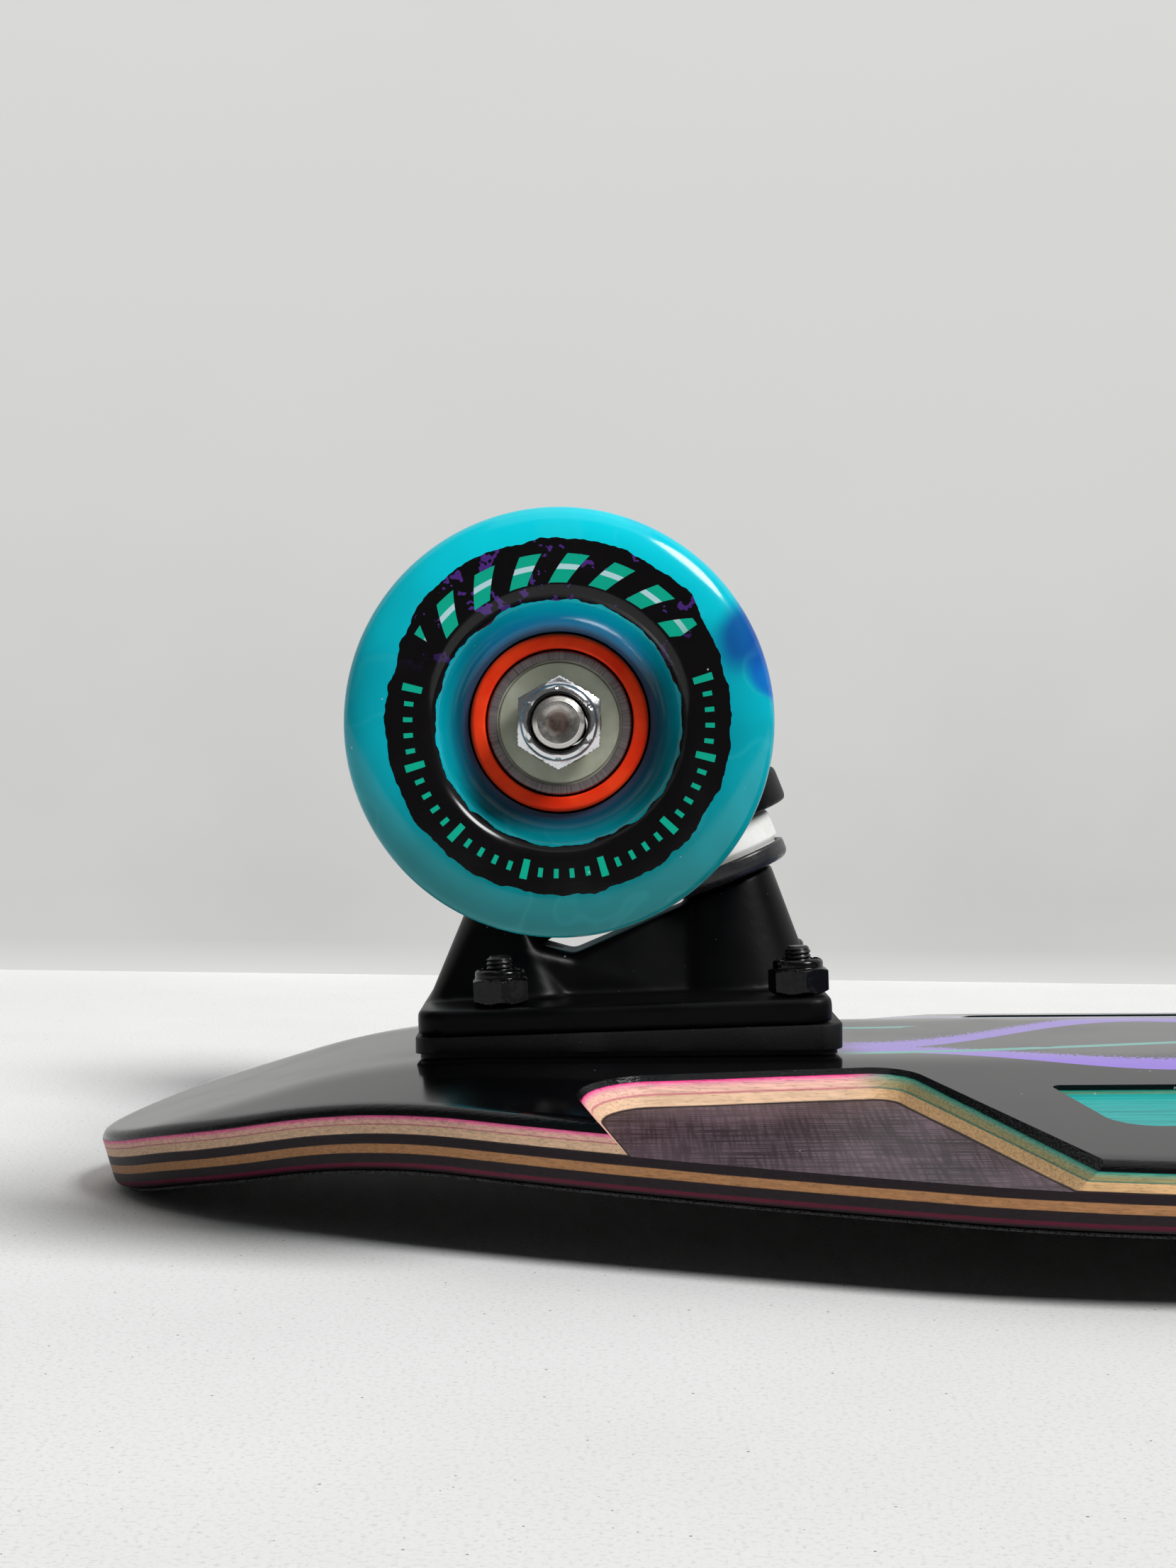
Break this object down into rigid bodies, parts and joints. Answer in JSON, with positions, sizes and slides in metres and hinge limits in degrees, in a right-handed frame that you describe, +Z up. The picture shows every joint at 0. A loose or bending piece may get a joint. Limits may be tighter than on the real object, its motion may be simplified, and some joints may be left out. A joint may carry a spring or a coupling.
{
  "type": "cruiser skateboard",
  "caption": "Cruiser skateboard lying on its grip side: pressed maple deck with wheel wells, wedge risers, kingpin trucks that lean on bushings, and soft wheels on bearings.",
  "frame": {"origin": "on the floor under the middle of the bounding box, with the board lying grip side down on its nose and tail", "axes": "+X along the board from nose to tail, +Y across to the rider's left, +Z up, away from the grip side; turn it 180 degrees about X to ride it"},
  "size_m": [0.691, 0.208, 0.1294],
  "materials": {
    "deck_maple": "gloss lacquer over dyed maple plies",
    "grip_black": "abrasive grit",
    "riser_rubber": "matt moulded",
    "cast_black": "satin black paint over cast aluminium",
    "plain_steel": "bare turned steel",
    "nut_chrome": "bright plated",
    "black_fastener": "black oxide",
    "washer_black": "satin black",
    "bushing_white": "satin urethane",
    "pivot_cup_black": "satin urethane",
    "urethane_teal": "glossy marbled urethane",
    "core_orange": "moulded, satin",
    "bearing_steel": "ground races and a coated shield"
  },
  "bodies": {
    "board": {"deck": "deck_maple", "grip_tape": "grip_black", "front_riser": "riser_rubber", "front_baseplate": "cast_black", "front_pivot_cup": "pivot_cup_black", "front_kingpin": "plain_steel", "front_boardside_washer": "washer_black", "front_boardside_bushing": "bushing_white", "front_roadside_bushing": "bushing_white", "front_roadside_washer": "washer_black", "front_kingpin_nut": "black_fastener", "front_bolt_1": "black_fastener", "front_bolt_2": "black_fastener", "front_bolt_3": "black_fastener", "front_bolt_4": "black_fastener", "front_bolt_nut_1": "black_fastener", "front_bolt_nut_2": "black_fastener", "front_bolt_nut_3": "black_fastener", "front_bolt_nut_4": "black_fastener", "rear_riser": "riser_rubber", "rear_baseplate": "cast_black", "rear_pivot_cup": "pivot_cup_black", "rear_kingpin": "plain_steel", "rear_boardside_washer": "washer_black", "rear_boardside_bushing": "bushing_white", "rear_roadside_bushing": "bushing_white", "rear_roadside_washer": "washer_black", "rear_kingpin_nut": "black_fastener", "rear_bolt_1": "black_fastener", "rear_bolt_2": "black_fastener", "rear_bolt_3": "black_fastener", "rear_bolt_4": "black_fastener", "rear_bolt_nut_1": "black_fastener", "rear_bolt_nut_2": "black_fastener", "rear_bolt_nut_3": "black_fastener", "rear_bolt_nut_4": "black_fastener"},
    "front_truck_arm": {"front_hanger": "cast_black", "front_axle": "plain_steel", "front_left_axle_nut": "nut_chrome", "front_right_axle_nut": "nut_chrome"},
    "front_left_wheel": {"front_left_tyre": "urethane_teal", "front_left_core": "core_orange", "front_left_outer_bearing": "bearing_steel", "front_left_inner_bearing": "bearing_steel"},
    "front_right_wheel": {"front_right_tyre": "urethane_teal", "front_right_core": "core_orange", "front_right_outer_bearing": "bearing_steel", "front_right_inner_bearing": "bearing_steel"},
    "rear_truck_arm": {"rear_hanger": "cast_black", "rear_axle": "plain_steel", "rear_left_axle_nut": "nut_chrome", "rear_right_axle_nut": "nut_chrome"},
    "rear_left_wheel": {"rear_left_tyre": "urethane_teal", "rear_left_core": "core_orange", "rear_left_outer_bearing": "bearing_steel", "rear_left_inner_bearing": "bearing_steel"},
    "rear_right_wheel": {"rear_right_tyre": "urethane_teal", "rear_right_core": "core_orange", "rear_right_outer_bearing": "bearing_steel", "rear_right_inner_bearing": "bearing_steel"}
  },
  "joints": [
    {"name": "front_lean", "type": "hinge", "parent": "board", "child": "front_truck_arm", "pos_m": [-0.23383, 0, 0.07161], "axis": [0.8415, 0, 0.5402], "range_deg": [-18, 18], "stiffness_Nm_per_rad": 35, "deforming": ["front_boardside_bushing", "front_roadside_bushing"]},
    {"name": "front_left_spin", "type": "hinge", "parent": "front_truck_arm", "child": "front_left_wheel", "pos_m": [-0.25948, 0.0797, 0.08793], "axis": [0, 1, 0], "continuous": true},
    {"name": "front_right_spin", "type": "hinge", "parent": "front_truck_arm", "child": "front_right_wheel", "pos_m": [-0.25948, -0.0797, 0.08793], "axis": [0, 1, 0], "continuous": true},
    {"name": "rear_lean", "type": "hinge", "parent": "board", "child": "rear_truck_arm", "pos_m": [0.18705, 0, 0.07964], "axis": [-0.8615, 0, 0.5077], "range_deg": [-18, 18], "stiffness_Nm_per_rad": 35, "deforming": ["rear_boardside_bushing", "rear_roadside_bushing"]},
    {"name": "rear_left_spin", "type": "hinge", "parent": "rear_truck_arm", "child": "rear_left_wheel", "pos_m": [0.21206, 0.0797, 0.09694], "axis": [0, 1, 0], "continuous": true},
    {"name": "rear_right_spin", "type": "hinge", "parent": "rear_truck_arm", "child": "rear_right_wheel", "pos_m": [0.21206, -0.0797, 0.09694], "axis": [0, 1, 0], "continuous": true}
  ]
}
